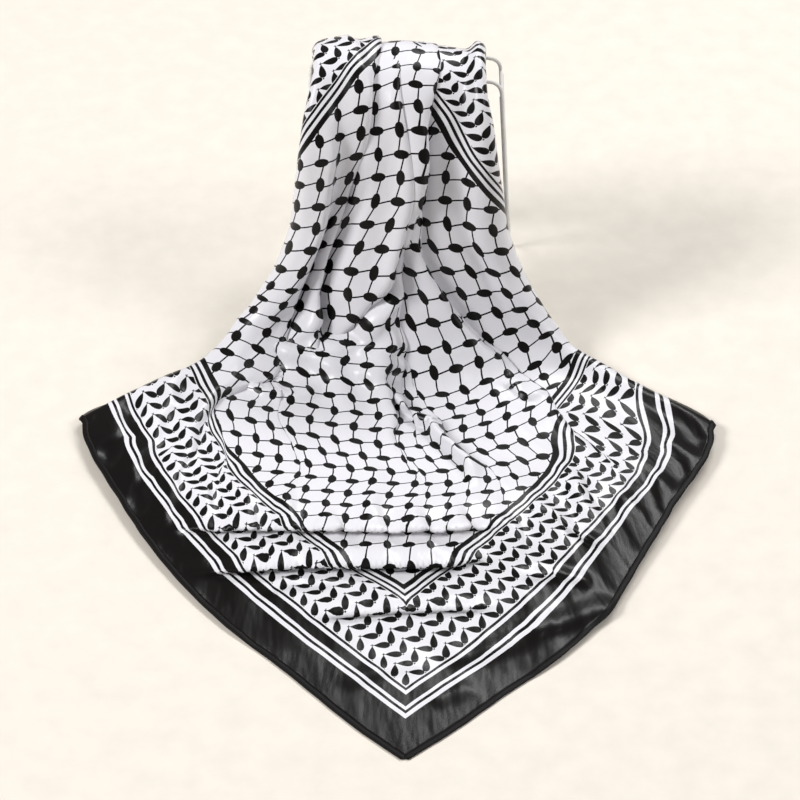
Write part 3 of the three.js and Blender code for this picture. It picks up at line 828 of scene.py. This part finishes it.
side_step = np.linspace(TUCK_IN, SIDE - TUCK_IN, CLOTH_STEPS + 1)
right_side, left_side = np.meshgrid(side_step, side_step, indexing="ij")
along = (right_side + left_side) / np.sqrt(2)
across = (right_side - left_side) / np.sqrt(2)
skins, faces = closed_wall(cloth_surface, along, across, SKIN)
repeats = np.stack([across, along], axis=-1) / REPEAT
cloth = make_piece("satin_square", to_frame(skins), faces, np.stack([repeats, repeats]))
finish_piece(cloth, satin, "satin", "panel")
print("satin square:", len(cloth.data.polygons), "faces")

# %% [markdown]
# ## The hem
# Each side of the square is rolled over twice and sewn. The roll is a flat oval carried along the
# edge, and its stitches are short oval threads set in a row along its inner edge.

# %% Rolled hems
HEM_WIDTH = 6.0
HEM_HALF_HEIGHT = 0.75
HEM_STEPS, HEM_SIDES = 420, 10
END_SIZE = 0.05
STITCH, STITCH_SPACING = 2.2, 3.2
# How far the stitches lie from the hem's inner edge, and how high on it as a share
STITCH_INSET, STITCH_HEIGHT = 1.0, 0.75
THREAD_RADIUS = 0.32
THREAD_RINGS, THREAD_SIDES = 5, 6


def edge_frame(along, across, in_along, in_across):
    """Points near a side of the square with three unit vectors: on along the side, out, and up."""
    inner = cloth_surface(along, across)
    outer = cloth_surface(along - in_along * HEM_WIDTH / 2, across - in_across * HEM_WIDTH / 2)
    on = np.gradient(inner, axis=0)
    on = on / np.linalg.norm(on, axis=-1, keepdims=True)
    out = outer - inner
    out = out - (out * on).sum(-1, keepdims=True) * on
    out = out / np.maximum(np.linalg.norm(out, axis=-1, keepdims=True), 1e-9)
    return inner, on, out, np.cross(on, out)


def hem_piece(name, first, last, inward):
    """The roll along one side: centre + half width cos a out + half height sin a up."""
    share = np.linspace(0, 1, HEM_STEPS)[:, None]
    flat = np.array(first) + (np.array(last) - np.array(first)) * share
    centre, on, out, up = edge_frame(flat[:, 0], flat[:, 1], *inward)
    angle = np.linspace(0, 2 * np.pi, HEM_SIDES, endpoint=False)
    shrink = np.ones(HEM_STEPS)
    shrink[[0, -1]] = END_SIZE
    wide = HEM_WIDTH / 2 * np.cos(angle) * shrink[:, None]
    high = HEM_HALF_HEIGHT * np.sin(angle) * shrink[:, None]
    point = centre[:, None] + out[:, None] * wide[..., None] + up[:, None] * high[..., None]
    point[..., 2] = np.maximum(point[..., 2], 0)
    faces = [grid_faces(HEM_STEPS, HEM_SIDES, closed=True)]
    caps = np.arange(HEM_SIDES)
    faces += [caps[None, ::-1], caps[None] + (HEM_STEPS - 1) * HEM_SIDES]
    return make_piece(name, to_frame(point), faces)


def stitch_piece(name, first, last, inward):
    """A row of threads, each an oval of half a stitch's length, on top of the hem's inner edge."""
    first, last = np.array(first, float), np.array(last, float)
    count = int(np.linalg.norm(last - first) / STITCH_SPACING)
    share = ((np.arange(count) + 0.5) / count)[:, None]
    flat = first + (last - first) * share
    centre, on, out, up = edge_frame(flat[:, 0], flat[:, 1], *inward)
    centre = centre - out * (HEM_WIDTH / 2 - STITCH_INSET) + up * (HEM_HALF_HEIGHT * STITCH_HEIGHT)
    ends = np.linspace(0, np.pi, THREAD_RINGS)
    ring = np.linspace(0, 2 * np.pi, THREAD_SIDES, endpoint=False)
    length = -np.cos(ends) * STITCH / 2
    radius = THREAD_RADIUS * np.sin(ends).clip(END_SIZE)
    local_on = np.repeat(length[:, None], THREAD_SIDES, axis=1)
    local_out = radius[:, None] * np.cos(ring)
    local_up = radius[:, None] * np.sin(ring)
    place = centre[:, None, None] + on[:, None, None] * local_on[..., None]
    place = place + out[:, None, None] * local_out[..., None] + up[:, None, None] * local_up[..., None]
    place[..., 2] = np.maximum(place[..., 2], 0)
    one = grid_faces(THREAD_RINGS, THREAD_SIDES, closed=True)
    first_points = THREAD_RINGS * THREAD_SIDES * np.arange(count)
    many = (one[None] + first_points[:, None, None]).reshape(-1, 4)
    return make_piece(name, to_frame(place), [many])


inset = TUCK_IN * np.sqrt(2)
FRONT_CORNER, BACK_CORNER = (inset, 0.0), (DIAGONAL - inset, 0.0)
LEFT_CORNER, RIGHT_CORNER = (HALF, inset - HALF), (HALF, HALF - inset)
ROOT = np.sqrt(0.5)
HEMS = (
    ("front_left", LEFT_CORNER, FRONT_CORNER, (ROOT, ROOT)),
    ("front_right", FRONT_CORNER, RIGHT_CORNER, (ROOT, -ROOT)),
    ("back_left", BACK_CORNER, LEFT_CORNER, (-ROOT, ROOT)),
    ("back_right", RIGHT_CORNER, BACK_CORNER, (-ROOT, -ROOT)),
)
for side_name, first, last, inward in HEMS:
    hem = hem_piece(f"rolled_hem_{side_name}", first, last, inward)
    finish_piece(hem, hem_black, "hem", f"hem_{side_name}")
    stitches = stitch_piece(f"stitches_{side_name}", first, last, inward)
    finish_piece(stitches, thread, "hem")
print("hems:", len(HEMS))

# %% [markdown]
# ## The wire basket
# The basket is bent from round wire and coated white. A wire is a ring of points carried along a
# path. Where two wires meet, the ends run a little into each other, as a weld does.

# %% Wires
WIRE, THIN_WIRE = 3.6, 2.4
WIRE_SIDES = 14
BASKET_MIDDLE = 2.0
TOP = {"z": 247.2, "front": 618, "back": 656, "half": 89}
FOOT = {"z": 4.8, "front": 580, "back": 676, "half": 104}
CORNER = 14.0
SIDE_RAIL_Z = 232.2
RAIL_Z = 2.0
WELD = 0.9
# The dome at a wire's end: how far out its rings lie and how wide they are, over the radius
DOME_OUT = np.array([1.0, 0.8, 0.45])
DOME_SIZE = (0.05, 0.6, 0.9)


def on_basket(z, share, face):
    """A point of the taper at the height z: share of the half width across, on a named face."""
    down = (TOP["z"] - z) / (TOP["z"] - FOOT["z"])
    half = TOP["half"] + (FOOT["half"] - TOP["half"]) * down
    y = TOP[face] + (FOOT[face] - TOP[face]) * down
    return np.stack(np.broadcast_arrays(BASKET_MIDDLE + share * half, y, z), axis=-1).astype(float)


def wire_piece(name, path, thickness):
    """Round wire along a path: path + radius (cos a, sin a) in the two directions square to it,
    with a dome of three smaller rings at each end."""
    start, end = path[0] - path[1], path[-1] - path[-2]
    start, end = start / np.linalg.norm(start), end / np.linalg.norm(end)
    head = path[0] + start * (DOME_OUT[:, None] * thickness / 2)
    tail = path[-1] + end * (DOME_OUT[::-1, None] * thickness / 2)
    whole = np.concatenate([head, path, tail])
    size = np.concatenate([DOME_SIZE, np.ones(len(path)), DOME_SIZE[::-1]]) * thickness / 2
    run = np.gradient(whole, axis=0)
    run = run / np.linalg.norm(run, axis=-1, keepdims=True)
    steady = np.where(np.abs(run[:, :1]) < 0.7, [[1.0, 0.0, 0.0]], [[0.0, 0.0, 1.0]])
    side = np.cross(steady, run)
    side = side / np.linalg.norm(side, axis=-1, keepdims=True)
    other = np.cross(run, side)
    angle = np.linspace(0, 2 * np.pi, WIRE_SIDES, endpoint=False)
    ring = side[:, None] * np.cos(angle)[:, None] + other[:, None] * np.sin(angle)[:, None]
    point = whole[:, None] + ring * size[:, None, None]
    caps = np.arange(WIRE_SIDES)
    faces = [grid_faces(len(whole), WIRE_SIDES, closed=True)[:, ::-1]]
    faces += [caps[None], caps[None, ::-1] + (len(whole) - 1) * WIRE_SIDES]
    return make_piece(name, to_frame(point), faces)


print("wire:", WIRE, "mm thick, and", THIN_WIRE, "mm on the side faces")

# %% Paths of the wires
# The lattice: its turns, how far it stays from the rails, and how far it lies off the face
LATTICE_TURNS, LATTICE_CLEAR, LATTICE_OUT = 2.5, 4.0, 1.25
LATTICE_WELD = 0.2
LATTICE_POINTS, BEND_POINTS = 120, 12


def straight(first, last, steps=12):
    """Points from first to last with equal steps."""
    return first + (last - first) * np.linspace(0, 1, steps)[:, None]


def leg_path(sign, face):
    """Up the leg, round a corner whose curve is (1-u)^2 a + 2u(1-u) b + u^2 c, and a little inwards."""
    low = on_basket(FOOT["z"] - WELD, sign, face)
    start = on_basket(TOP["z"] - CORNER, sign, face)
    corner = on_basket(TOP["z"], sign, face)
    inner = corner - [sign * CORNER, 0, 0]
    u = np.linspace(0, 1, BEND_POINTS)[1:, None]
    bend = (1 - u) ** 2 * start + 2 * u * (1 - u) * corner + u * u * inner
    return np.concatenate([straight(low, start), bend])


def lattice_path(sign, turn, outward):
    """Down a side face: y = middle + room cos(2.5 turns + start), x a little off the face."""
    share = np.linspace(0, 1, LATTICE_POINTS)
    high, low = TOP["z"] - CORNER - LATTICE_CLEAR, FOOT["z"] + LATTICE_CLEAR
    z = high - (high - low) * share
    front, back = on_basket(z, sign, "front"), on_basket(z, sign, "back")
    room = (back[:, 1] - front[:, 1]) / 2 - WIRE / 2 - THIN_WIRE / 2 + LATTICE_WELD
    angle = 2 * np.pi * LATTICE_TURNS * share + turn
    y = (front[:, 1] + back[:, 1]) / 2 + room * np.cos(angle)
    return np.stack([front[:, 0] + sign * outward, y, z], axis=-1)


# %% The basket's wires
coated = plain_material("white coated wire", (0.86, 0.85, 0.82, 1.0), 0.3, 260.0, 0.00004)
wires = {}
for side_name, sign in (("left", -1), ("right", 1)):
    for face in ("front", "back"):
        wires[f"leg_{face}_{side_name}"] = (leg_path(sign, face), WIRE)
    for rail, z in (("top", SIDE_RAIL_Z), ("foot", RAIL_Z)):
        front, back = on_basket(z, sign, "front"), on_basket(z, sign, "back")
        reach = [0, WIRE / 2 - WELD, 0]
        wires[f"{rail}_rail_{side_name}"] = (straight(front + reach, back - reach), WIRE)
    for name, turn, outward in (("outer", 0.0, LATTICE_OUT), ("inner", np.pi, -LATTICE_OUT)):
        wires[f"lattice_{name}_{side_name}"] = (lattice_path(sign, turn, outward), THIN_WIRE)
for face in ("front", "back"):
    inward = [CORNER - WELD, 0, 0]
    left, right = on_basket(TOP["z"], -1, face), on_basket(TOP["z"], 1, face)
    wires[f"top_rail_{face}"] = (straight(left + inward, right - inward), WIRE)
    left, right = on_basket(RAIL_Z, -1, face), on_basket(RAIL_Z, 1, face)
    wires[f"foot_rail_{face}"] = (straight(left, right), WIRE)
    for number, share in enumerate((-0.5, 0.0, 0.5), start=1):
        low = on_basket(FOOT["z"] - WELD, share, face)
        high = on_basket(TOP["z"] - WIRE / 2, share, face)
        wires[f"upright_{face}_{number}"] = (straight(low, high), WIRE)
for name, (path, thickness) in wires.items():
    finish_piece(wire_piece(f"wire_{name}", path, thickness), coated, "wire", name)
print("wires:", len(wires))

# %% [markdown]
# ## Floor, light and camera
# The photograph was taken on a pale cream surface in soft light from the upper left. A lamp there
# gives the satin its streaks, a long one behind the basket lights the top, a third fills the right
# side, and the camera looks down at 42.5 degrees along the scarf's diagonal.

# %% Floor
FLOOR_HALF, FLOOR_Z = 6.0, -0.0006
floor_mesh = bpy.data.meshes.new("floor")
corner_signs = ((-1, -1), (1, -1), (1, 1), (-1, 1))
corners = [(x * FLOOR_HALF, y * FLOOR_HALF, FLOOR_Z) for x, y in corner_signs]
floor_mesh.from_pydata(corners, [], [(0, 1, 2, 3)])
floor = bpy.data.objects.new("floor", floor_mesh)
bpy.context.scene.collection.objects.link(floor)
floor_mesh.materials.append(plain_material("pale floor", (0.86, 0.8, 0.715, 1.0), 0.6, 40.0, 0.0001))
floor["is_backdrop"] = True
print("floor:", 2 * FLOOR_HALF, "m wide")

# %% Lamps and sky
SKY_COLOUR, SKY_STRENGTH = (1.0, 0.985, 0.96, 1.0), 0.23
world = bpy.data.worlds.new("studio")
world.use_nodes = True
world.node_tree.nodes["Background"].inputs["Color"].default_value = SKY_COLOUR
world.node_tree.nodes["Background"].inputs["Strength"].default_value = SKY_STRENGTH
bpy.context.scene.world = world
# Each lamp's place and size in metres, and its power in watts; all of them face the origin
LAMPS = (
    ("window", (-3.0, -0.7, 2.6), (1.2, 1.2), 118.0),
    ("overhead", (1.0, 2.2, 2.8), (2.2, 0.4), 68.0),
    ("fill", (3.2, -0.6, 3.0), (1.6, 1.6), 62.0),
)
for name, place, size, power in LAMPS:
    data = bpy.data.lights.new(name, "AREA")
    data.shape = "RECTANGLE"
    data.size, data.size_y = size
    data.energy = power
    lamp = bpy.data.objects.new(name, data)
    lamp.location = place
    towards = -np.array(place)
    lamp.rotation_euler = (
        np.arctan2(np.hypot(towards[0], towards[1]), -towards[2]),
        0.0,
        np.arctan2(towards[1], towards[0]) - np.pi / 2,
    )
    bpy.context.scene.collection.objects.link(lamp)
bpy.context.scene.view_settings.view_transform = "Standard"
print("lamps:", len(LAMPS))

# %% Camera
CAMERA_TILT = np.radians(42.5)
DISTANCE = 2.6
SENSOR_WIDTH, FOCAL_LENGTH = 36.0, 126.2
AIM = np.array([0.0027, -0.054, 0.0])
RAISE = 0.0589
forward = np.array([0.0, np.cos(CAMERA_TILT), -np.sin(CAMERA_TILT)])
upward = np.array([0.0, np.sin(CAMERA_TILT), np.cos(CAMERA_TILT)])
camera_data = bpy.data.cameras.new("camera")
camera_data.sensor_width = SENSOR_WIDTH
camera_data.lens = FOCAL_LENGTH
camera = bpy.data.objects.new("camera", camera_data)
camera.location = AIM + RAISE * upward - DISTANCE * forward
camera.rotation_euler = (np.pi / 2 - CAMERA_TILT, 0.0, 0.0)
bpy.context.scene.collection.objects.link(camera)
bpy.context.scene.camera = camera
print("camera at", np.round(camera.location, 3))

# %% [markdown]
# ## Size
# The box round every shown piece, the floor left out, gives the model's size in millimetres.

low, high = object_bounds()
print("sizes in mm:", np.round((np.array(high) - np.array(low)) / MM, 1))
